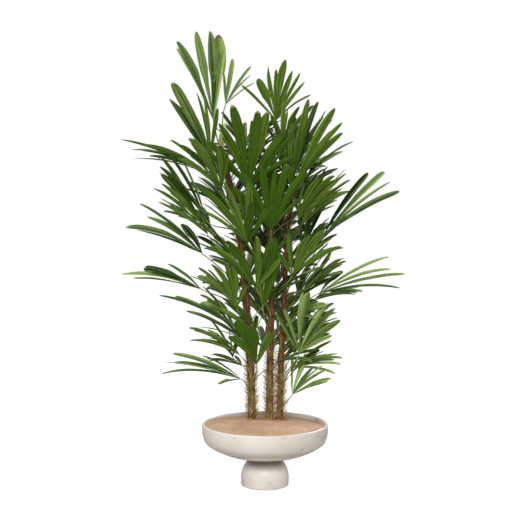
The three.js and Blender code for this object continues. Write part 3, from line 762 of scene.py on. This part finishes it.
def cane_curve(line, shares):
    """Points of a centripetal Catmull-Rom curve through the line, at shares of its spans."""
    points = np.array(line, float)
    ends = np.vstack([2 * points[0] - points[1], points, 2 * points[-1] - points[-2]])
    spans = len(points) - 1
    found = []
    for share in shares:
        k = min(int(share * spans), spans - 1)
        t = share * spans - k
        p0, p1, p2, p3 = ends[k : k + 4]
        d0, d1, d2 = (math.sqrt(np.linalg.norm(b - a)) for a, b in ((p0, p1), (p1, p2), (p2, p3)))
        out = ((p1 - p0) / d0 - (p2 - p0) / (d0 + d1) + (p2 - p1) / d1) * d1
        into = ((p2 - p1) / d1 - (p3 - p1) / (d1 + d2) + (p3 - p2) / d2) * d1
        square, cube = -3 * p1 + 3 * p2 - 2 * out - into, 2 * p1 - 2 * p2 + out + into
        found.append(p1 + out * t + square * t**2 + cube * t**3)
    return np.array(found)


class Cane:
    """A cane's centre line and thickness, by the source's rule."""

    def __init__(self, name, radius, line):
        self.name, self.radius = name, radius
        self.shares = np.linspace(0, 1, 401)
        self.points = cane_curve(line, self.shares)
        self.top = line[-1][2]

    def at(self, height):
        """The centre line's point at a height."""
        z = self.points[:, 2]
        return np.stack([np.interp(height, z, self.points[:, k]) for k in range(3)], -1)

    def radius_at(self, height):
        share = np.interp(height, self.points[:, 2], self.shares)
        flare = 1 + (CANE_FLARE - 1) * np.maximum(0, 1 - (height - CANE_FOOT) / FLARE_HEIGHT) ** 2
        return self.radius * mix(1, CANE_TAPER, share) * flare


def ridge(x, sharpness=2.0):
    """A ridge at each whole number."""
    return (1 - np.abs(2 * (x - np.floor(x)) - 1)) ** sharpness


def make_cane(cane, number, material):
    """The cane wrapped in leaf sheaths, one above another, with a lattice of fibres over them."""
    rng = np.random.default_rng(100 + number)
    heights = np.arange(CANE_FOOT + 1, cane.top + 0.1, CANE_ROW)
    h, a = np.meshgrid(heights, angles(CANE_SIDES), indexing="ij")
    edges = [CANE_FOOT - 20.0]
    while edges[-1] < cane.top + 60:
        edges.append(edges[-1] + SHEATH * rng.uniform(0.75, 1.3))
    lean, phase = rng.uniform(3, 9, len(edges)), rng.uniform(0, 2 * math.pi, len(edges))
    ragged = 1.6 * np.sin(9 * a + number) + 1.1 * np.sin(17 * a + 2.2 * number + 1) + 0.7 * np.sin(31 * a)
    rims = [edge + tilt * np.sin(a + turn) + ragged for edge, tilt, turn in zip(edges, lean, phase)]
    within = np.zeros_like(h)  # 0 to 1 from a sheath's lower rim to its upper one
    for low, high in zip(rims, rims[1:]):
        inside = (h >= low) & (h < high)
        within[inside] = ((h - low) / (high - low))[inside]
    wander = 0.35 * np.sin(h / 23 + number) + 0.2 * np.sin(h / 9.5 + 3 * a)
    turns, climb = a / (2 * math.pi), h / STRAND_PITCH * STRANDS * 0.5
    strand = STRANDS * turns + 0.3 * wander
    lattice = np.maximum(ridge(strand + climb), ridge(strand - climb + 0.3))
    fibres = ridge(26 * turns + 0.8 * np.sin(h / 31 + number), 1.5)
    rough = noise_at(1.3 * np.cos(a), 1.3 * np.sin(a), h / 26 + 9 * number)
    lattice = np.clip(lattice * 0.8 + 0.8 * rough, 0, 1)
    rise = SHEATH_RISE * within**3 + STRAND_RISE * lattice + FIBRE_RISE * fibres
    radius = cane.radius_at(h) + CANE_COAT[cane.name] + rise
    radius = radius * np.sqrt(np.clip((cane.top + 2 - h) / 14, 0.02, 1))
    centre = cane.at(heights)
    points = centre[:, None] + np.stack([radius * np.cos(a), radius * np.sin(a), np.zeros_like(a)], -1)
    # how light the fibres are painted by their relief: dark in the hollows, as bark with painted shade, and
    # a painted shadow at the edge of each sheath
    relief_shade = (0.5 * lattice + 0.38 * fibres + 0.12 * within) * (1 - 0.5 * (within > 0.965))
    return ringed(f"bark_{cane.name}", points, material, "cane", sharp=0, relief_shade=relief_shade)


def make_bristles(cane, number, materials):
    """Stiff fibres that stand out of the sheaths and turn upwards, thick on the foot and few above it."""
    rng = np.random.default_rng(200 + number)
    mesh = Mesh()
    height = CANE_FOOT + 12.0
    while height < cane.top - 60:
        thinner = float(smooth(CROWDED_BELOW, THIN_ABOVE, height))
        for k in range(BRISTLES_ROUND):
            if rng.random() > mix(1, THINNED, thinner):
                continue
            angle = 2 * math.pi * (k + rng.uniform(-0.3, 0.3)) / BRISTLES_ROUND + 0.4 * height
            z = height + rng.uniform(-3, 3)
            out = np.array([math.cos(angle), math.sin(angle), 0])
            foot = cane.at(z) + out * (cane.radius_at(z) - 2.4)
            length = rng.uniform(*BRISTLE_LENGTH) * mix(1, 0.7, thinner)
            pitch = np.radians(np.linspace(rng.uniform(15, 40), rng.uniform(40, 70), 4))
            round_it = np.cross([0, 0, 1], out)
            way = np.cos(pitch)[:, None] * out + np.sin(pitch)[:, None] * np.array([0, 0, 1])
            way = unit(way + round_it * rng.uniform(-0.25, 0.25))
            line = foot + np.concatenate([[[0, 0, 0]], np.cumsum((way[1:] + way[:-1]) / 2, 0)]) * length / 3
            over = np.cross(way, round_it)
            thick = rng.uniform(*BRISTLE_THICKNESS) * np.array([1, 0.8, 0.5, 0.06])
            across, up = (thick[:, None] * f(np.radians([90, 210, 330])) for f in (np.cos, np.sin))
            points = line[:, None] + across[..., None] * round_it + up[..., None] * over[:, None]
            slot = rng.integers(len(materials))
            mesh.shut(mesh.grid(points, slot, closed=True), slot, slot)
        height += BRISTLE_ROWS * rng.uniform(0.85, 1.15)
    return mesh.make(f"bristles_{cane.name}", materials, "cane", sharp=0)


# -------- fronds by the source's rule


class Frond:
    """A fan on its stalk, by the source's rule, where the source placed it."""

    def __init__(self, cane, number, row, inner=False):
        self.__dict__.update(zip(FIELDS, row))
        self.cane, self.number = cane, number
        self.hub = np.array([self.x, self.y, self.z], float)
        self.plain_fan = self.used = self.fan((0, 0))
        self.nudge, self.node = 0, None
        if not inner:
            self.node = f"frond_{cane.name}_{number:02d}"
            self.fit()

    def fan(self, move):
        """The fan's along, side and up, turned and lifted by a move."""
        along = raised(self.heading, self.pitch)
        side = turned(flat(self.heading - 90), along, self.roll)
        up = np.cross(side, along)
        along, side = turned(along, up, move[0]), turned(side, up, move[0])
        return turned(along, side, move[1]), side, turned(up, side, move[1])

    def petiole(self, nudge, shares):
        foot = self.cane.at(self.at + nudge)
        length = np.linalg.norm(foot - self.hub)
        away = math.degrees(math.atan2(self.hub[1] - foot[1], self.hub[0] - foot[0]))
        out = foot + raised(away, PETIOLE_STEEPNESS) * 0.35 * length
        into = self.hub - self.plain_fan[0] * 0.3 * length
        return bezier([foot, out, into, self.hub], shares)

    def leaflet(self, fan, index):
        along, side, up = fan
        place = 2 * index / (self.leaflets - 1) - 1
        outward = place * place
        step = self.spread / self.leaflets
        angle = math.radians(place * self.spread / 2 + step * 0.3 * (chance(self.number, index, 1) - 0.5))
        direction = along * math.cos(angle) + side * math.sin(angle) + up * CUPPING * math.sin(angle) ** 2
        return {
            "direction": unit(direction),
            "length": self.length * (1 - 0.2 * outward) * mix(0.93, 1.05, chance(self.number, index, 2)),
            "width": self.width * (1 - 0.3 * outward) * mix(0.85, 1.1, chance(self.number, index, 3)),
            "droop": DROOP * mix(0.6, 1.35, chance(self.number, index, 4)),
            "place": place,
        }

    def spine(self, leaflet, shares, steps=CURVE_STEPS):
        """Points and directions of a leaflet's centre line, which bends down as far as it is level."""
        direction, length = leaflet["direction"], leaflet["length"]
        heading, pitch = math.atan2(direction[1], direction[0]), math.asin(direction[2])
        droop = math.radians(leaflet["droop"]) * math.cos(pitch)

        def way(share):
            now = pitch - droop * share**1.4
            level = np.cos(now)
            return np.stack([level * math.cos(heading), level * math.sin(heading), np.sin(now)], -1)

        middles = way((np.arange(steps) + 0.5) / steps)
        line = self.hub + np.vstack([np.zeros(3), np.cumsum(middles, 0)]) * length / steps
        places = np.linspace(0, 1, steps + 1)
        found = np.stack([np.interp(shares, places, line[:, k]) for k in range(3)], -1)
        return found, way(np.asarray(shares))

    def fit(self):
        """Finds by which move and nudge the CAD node was placed: those whose tips and bends lie on it."""
        points = np.array([v.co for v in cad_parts[self.node].data.vertices]) / MM

        def miss(places):
            gone = np.linalg.norm(points[None] - np.asarray(places)[:, None], axis=-1).min(1)
            return np.minimum(gone, 8).sum()

        def tips(move):
            fan = self.fan(move)
            return [self.spine(self.leaflet(fan, k), [1.0])[0][0] for k in range(self.leaflets)]

        def bends(nudge):
            """Petiole keels between the foot and the hub."""
            shares = np.array([0.5, 0.75])
            way = unit(self.petiole(nudge, shares + 1e-4) - self.petiole(nudge, shares - 1e-4))
            over = beside(way, self.used[2])[1]
            return self.petiole(nudge, shares) - over * (THICKNESS / 2 * mix(1.3, 1, shares))[:, None]

        self.move = min(MOVES, key=lambda move: miss(tips(move)))
        self.used = self.fan(self.move)
        self.nudge = min(PETIOLE_NUDGES, key=lambda nudge: miss(bends(nudge)))


def inner_fronds(cane, first, count, lowest, longer):
    """Shorter fronds close to the cane, by the same rule, each a golden angle on from the last."""
    rng = np.random.default_rng(first)
    made = []
    for k in range(count):
        at = mix(lowest, cane.top - 50, (k + rng.random()) / count)
        heading = (first * 50 + GOLDEN_ANGLE * k + rng.uniform(-15, 15)) % 360
        if 215 < heading < 325:  # the fans that face the front are the source's own
            heading += 110
        hub = cane.at(at) + flat(heading) * rng.uniform(45, 105) + [0, 0, rng.uniform(50, 95)]
        pitch, roll, length = rng.uniform(26, 62), rng.uniform(-25, 25), rng.uniform(160, 230)
        width, spread, leaflets = rng.uniform(24, 32), rng.uniform(60, 100), rng.integers(4, 8)
        row = [at, *hub, heading, pitch, roll, length * longer, width, spread, leaflets]
        made.append(Frond(cane, first + k, row, inner=True))
    return made


canes = [Cane(name, radius, line) for name, (radius, line) in CANES.items()]
fronds = []
for cane in canes:
    for row in FRONDS[cane.name]:
        fronds.append(Frond(cane, len(fronds) + 1, row))
for number, cane in enumerate(canes):
    fronds += inner_fronds(cane, 101 + 20 * number, *INNER[cane.name])


# -------- leaflets and petioles


def sized_leaflet(frond, index, rng):
    """A leaflet by the source's rule, then turned, lengthened and widened on its own."""
    leaflet = frond.leaflet(frond.used, index)
    aside, away = np.clip(rng.normal(size=2), -1.8, 1.8) * LEAF_STRAY
    leaflet["direction"] = unit(leaflet["direction"] + aside * frond.used[1] + away * frond.used[2])
    longer, wider = 1 - LEAF_SHORTER * rng.random() ** 2.5, mix(*LEAF_WIDENING, rng.random())
    if frond.number in BROAD:
        longer, wider = mix(longer, 1, 2 / 3), max(1, wider) * BROAD[frond.number]
    if frond.number in FITTED:
        longer, wider = np.multiply((longer, wider), FITTED[frond.number])
    if frond.number in SHAPED:
        turn, longer, wider = SHAPED[frond.number][int(index)]
        leaflet["direction"] = turned(leaflet["direction"], frond.used[2], -turn)
    if index % 1:
        longer, wider = np.multiply((longer, wider), SIBLING_SIZE)
    leaflet["length"] *= longer
    leaflet["width"] *= wider
    return leaflet


def leaflet_points(frond, index, leaflet, rng):
    """Rows of points over a leaflet, folded along its middle and pleated, and its up at each row."""
    middle, way = frond.spine(leaflet, LEAF_AT, LEAF_STEPS)
    side, over = beside(way, frond.used[2])
    free = smooth(0.08, 0.42, LEAF_AT)
    bank = np.clip(rng.normal(), -1.7, 1.7) * LEAF_BANK + leaflet["place"] * 8
    bank = np.radians(bank * free + rng.normal() * LEAF_TWIST * LEAF_AT**2)[:, None]
    side, over = side * np.cos(bank) + over * np.sin(bank), over * np.cos(bank) - side * np.sin(bank)
    sway = np.clip(rng.normal(), -1.5, 1.5) * LEAF_SWAY * leaflet["length"] * LEAF_AT**2
    middle = middle + sway[:, None] * side

    blunt = rng.random() ** 0.9
    outline = np.interp(LEAF_AT, OUTLINE_AT, mix(POINTED, BLUNT, blunt))
    half = leaflet["width"] / 2 * outline
    # up to the notch it meets its neighbours edge to edge
    step = math.radians(frond.spread) / (frond.leaflets - 1)
    notch = np.clip(0.8 * frond.width / step / frond.length, NOTCH_FROM, NOTCH_TO)
    room = LEAF_AT * leaflet["length"] * math.sin(step / 2) * 1.05 + 0.6
    inner = mix(np.minimum(half, room), half, smooth(notch - 0.05, notch + 0.12, LEAF_AT))
    left = half if index == 0 else inner
    right = half if index == frond.leaflets - 1 else inner
    reach = np.where(ACROSS[None] < 0, left[:, None], right[:, None]) * ACROSS[None]

    fold = np.radians(rng.uniform(*LEAF_FOLD)) * mix(0.6, 1, free) * (1 - 0.45 * LEAF_AT**3)
    height = np.abs(reach) * np.sin(fold)[:, None]
    height += (PLEAT_DEPTH * half * mix(0.5, 1, free))[:, None] * PLEAT[None]
    height += 0.6 * np.sin(LEAF_AT[:, None] * rng.uniform(9, 16) + rng.uniform(0, 6)) * np.abs(ACROSS) ** 3
    reach = reach * np.cos(fold)[:, None]
    slant = rng.uniform(-1, 1)
    rounding = (1 - np.cos(ACROSS)) * half[:, None]
    ends = smooth(0.8, 1, LEAF_AT)[:, None] * 0.5 * (slant * reach - rounding)
    ends[-1] += rng.uniform(-0.008, 0.006, len(ACROSS)) * leaflet["length"]
    points = middle[:, None] + ends[..., None] * way[:, None]
    return points + reach[..., None] * side[:, None] + height[..., None] * over[:, None], over


def leaflet_slots(share, under, rng):
    """Material slots above and below: painted highlight and shade in strips along the pleats, lighter to
    the tip, which may be dry.
    """
    pleat_shade = PLEAT_SHADE_STREAKS[rng.integers(len(PLEAT_SHADE_STREAKS))]
    rise = rng.uniform(0, 0.3) * (LEAF_AT[1:] - 0.4) + 0.1 * (LEAF_AT[1:] < 0.16)
    spray = rng.uniform(-0.02, 0.02, (len(rise), len(pleat_shade)))
    tone = share + rise[:, None] + PLEAT_SHADE_DEPTH * pleat_shade[None] + spray
    top_slots = np.clip(np.round(tone * (LEAF_TONES - 1)), 0, LEAF_TONES - 1).astype(int)
    # below, a tone darker under the strips of painted shade
    under_slots = np.full(top_slots.shape, LEAF_TONES + under) - (pleat_shade < 0) * (under > 0)
    dry = max(0, rng.integers(-2, 3))
    for slots in (top_slots, under_slots):
        slots[len(slots) - dry :] = LEAF_TONES + UNDER_TONES + (rng.random() < 0.4)
    return top_slots, under_slots


def add_leaflet(mesh, frond, index, share, under):
    """One thin leaflet, in its own tone above and below."""
    rng = np.random.default_rng(1000 * frond.number + int(index) + 500 * (index % 1 > 0))
    points, over = leaflet_points(frond, index, sized_leaflet(frond, index, rng), rng)
    top_slots, under_slots = leaflet_slots(share, under, rng)
    thick = LEAF_HALF_THICKNESS * over[:, None]
    top = mesh.grid(points + thick, top_slots)
    low = mesh.grid(points - thick, under_slots)
    mesh.quads[-1] = mesh.quads[-1][:, ::-1]
    border, beneath = ([*i[0], *i[1:, -1], *i[-1, -2::-1], *i[-2:0:-1, 0]] for i in (top, low))
    rim = np.stack([border, beneath, np.roll(beneath, -1), np.roll(border, -1)], -1)
    mesh.between(rim, int(np.clip(share * LEAF_TONES, 0, LEAF_TONES - 1)))


def add_petiole(mesh, frond):
    """The stalk, from its sheathing foot on the cane to the hub, a little flattened above."""
    shares = np.concatenate([np.linspace(0, 0.2, 7), np.linspace(0.27, 1, 13)])
    line = frond.petiole(frond.nudge, shares)
    way = unit(np.gradient(line, axis=0))
    side, over = beside(way, frond.used[2])
    foot = np.clip(1 - shares / 0.2, 0, 1) ** 2
    wide = PETIOLE_HALF * (mix(1.15, 0.8, shares) + foot)
    thick = PETIOLE_HALF * (mix(0.95, 0.6, shares) + 0.5 * foot)
    corners = np.radians(np.arange(8) * 45 + 22.5)
    squash = np.where(np.sin(corners) > 0, 0.55, 1.0)
    across, up = wide[:, None] * np.cos(corners), thick[:, None] * np.sin(corners) * squash
    points = line[:, None] + across[..., None] * side[:, None] + up[..., None] * over[:, None]
    slots = np.where(shares[1:] < 0.12, 1, 0)[:, None]
    mesh.shut(mesh.grid(points, slots, closed=True), first=1)


def add_frond(leaves, stalks, frond):
    """A frond's leaflets and stalk. Low and outer fronds are painted paler, as painted light, and each
    leaflet has its own tone.
    """
    outer = min(1, math.hypot(frond.x, frond.y) / 220)
    low = 1 - float(smooth(450, 850, frond.z))
    # painted light: low fronds and those at the crown's edge are lighter; the chance is each frond's own
    # tone
    tone_and_light = 0.15 + 0.13 * low + 0.1 * outer**2 + 0.2 * (chance(frond.number, 7, 9) - 0.5)
    # each frond's own tone, with painted light and shade
    tone_and_light += PALE_AND_LIT.get(frond.number, 0)
    order = [*range(frond.leaflets)]
    if frond.number not in LONE:
        order += [k + 0.5 for k in range(frond.leaflets - 1) if chance(frond.number, k, 21) < SIBLINGS]
    for index in order:
        share = tone_and_light + 0.44 * (chance(frond.number, index, 11) - 0.5)
        share += 0.3 * (chance(frond.number, index, 13) > 0.8)
        under = round(tone_and_light * UNDER_TONES + 0.8 * (chance(frond.number, index, 12) - 0.5))
        under = int(np.clip(under, 0, UNDER_TONES - 1))
        add_leaflet(leaves, frond, index, mix(MIDDLE_DARK, 1, share), under)
    add_petiole(stalks, frond)


leaf_looks = [
    *tones("leaf", LEAF_DARK, LEAF_LIGHT, LEAF_TONES, 0.45, 0.18),
    *tones("leaf_under", UNDER_DARK, UNDER_LIGHT, UNDER_TONES, 0.65, 0.08),
    plain("leaf_tip_pale", TIP_PALE, 0.5),
    plain("leaf_tip_brown", TIP_BROWN, 0.7),
]
petiole_looks = [plain("petiole", PETIOLE_GREEN, 0.45), plain("petiole_foot", PETIOLE_FOOT, 0.7)]
for cane in canes:
    own = [frond for frond in fronds if frond.cane is cane]
    leaves, stalks = Mesh(), Mesh()
    for frond in own:
        add_frond(leaves, stalks, frond)
    nodes = [frond.node for frond in own if frond.node]
    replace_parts(leaves.make(f"leaves_{cane.name}", leaf_looks, "frond", sharp=9), *nodes)
    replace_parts(stalks.make(f"petioles_{cane.name}", petiole_looks, "frond"), *nodes)

# -------- the rest of the part

bristle_looks = [plain(f"bristle_{k}", colour, 0.8) for k, colour in enumerate(BRISTLES)]
for number, cane in enumerate(canes):
    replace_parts(make_cane(cane, number, bark_material(f"bark_look_{cane.name}")), f"cane_{cane.name}")
    make_bristles(cane, number, bristle_looks)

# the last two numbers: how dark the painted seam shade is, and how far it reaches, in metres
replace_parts(make_bowl(stone_material("bowl_look", *BOWL_STONE, 0.42, 0.016)), "bowl")
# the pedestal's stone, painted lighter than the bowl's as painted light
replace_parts(make_pedestal(stone_material("pedestal_look", *PEDESTAL_STONE_PAINTED_LIT, 0.85, 0.044)), "pedestal")
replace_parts(make_sand(sand_material()), "sand")
make_grains([plain(f"grain_{name}", colour, 0.9) for name, colour in GRAINS.items()])

# -------- floor, light and camera


def make_floor():
    """A pale floor that glows a little to the camera, so that it stays near white under soft shadows."""
    look = bpy.data.materials.new("floor_look")
    n = Nodes(look, clear=True)
    bounce, lit = (n.add("BsdfDiffuse", {"Color": (*colour, 1)}) for colour in (FLOOR_BOUNCE, FLOOR_LIT))
    seen = n.add("AddShader", {0: lit, 1: n.add("Emission", {"Strength": FLOOR_GLOW})})
    shown = n.add("MixShader", {0: n.add("LightPath", {}, "Is Camera Ray"), 1: bounce, 2: seen})
    n.add("OutputMaterial", {0: shown})
    mesh = bpy.data.meshes.new("floor")
    r = FLOOR_REACH
    mesh.from_pydata([(-r, -r, 0), (r, -r, 0), (r, r, 0), (-r, r, 0)], [], [(0, 1, 2, 3)])
    mesh.materials.append(look)
    added("floor", mesh)


def make_world():
    """A white studio, dimmer for matt surfaces than for gloss and the camera."""
    world = bpy.data.worlds.new("studio")
    n = Nodes(world, clear=True)
    shown = None
    for ray, strength in SKY.items():
        sky = n.add("Background", {"Color": (1, 1, 1, 1), "Strength": strength})
        shown = n.add("MixShader", {0: n.add("LightPath", {}, ray), 1: shown, 2: sky}) if ray else sky
    n.add("OutputWorld", {0: shown})
    bpy.context.scene.world = world


def aimed(name, data, place, target):
    """A light or camera at a place, turned to a target."""
    made = added(name, data)
    made.location = place
    made.rotation_mode = "QUATERNION"
    made.rotation_quaternion = (Vector(target) - Vector(place)).to_track_quat("-Z", "Y")
    return made


def make_sun():
    data = bpy.data.lights.new("sun", "SUN")
    data.angle = math.radians(SUN_WIDTH)
    data.energy = SUN_STRENGTH
    aimed("sun", data, SUN_FROM, (0, 0, 0))


def make_light(name, place, target, size, watts, glossy, diffuse):
    data = bpy.data.lights.new(name, "AREA")
    data.shape = "RECTANGLE"
    data.size, data.size_y = size
    data.energy = watts
    light = aimed(name, data, place, target)
    light.visible_glossy, light.visible_diffuse = glossy, diffuse


def make_camera():
    data = bpy.data.cameras.new("camera")
    data.sensor_width = FILM
    data.lens = FOCAL * FILM
    bpy.context.scene.camera = aimed("camera", data, CAMERA_AT, CAMERA_TARGET)


make_floor()
make_world()
make_sun()
for light in LIGHTS:
    make_light(*light)
make_camera()
bpy.context.scene.view_settings.view_transform = "Standard"
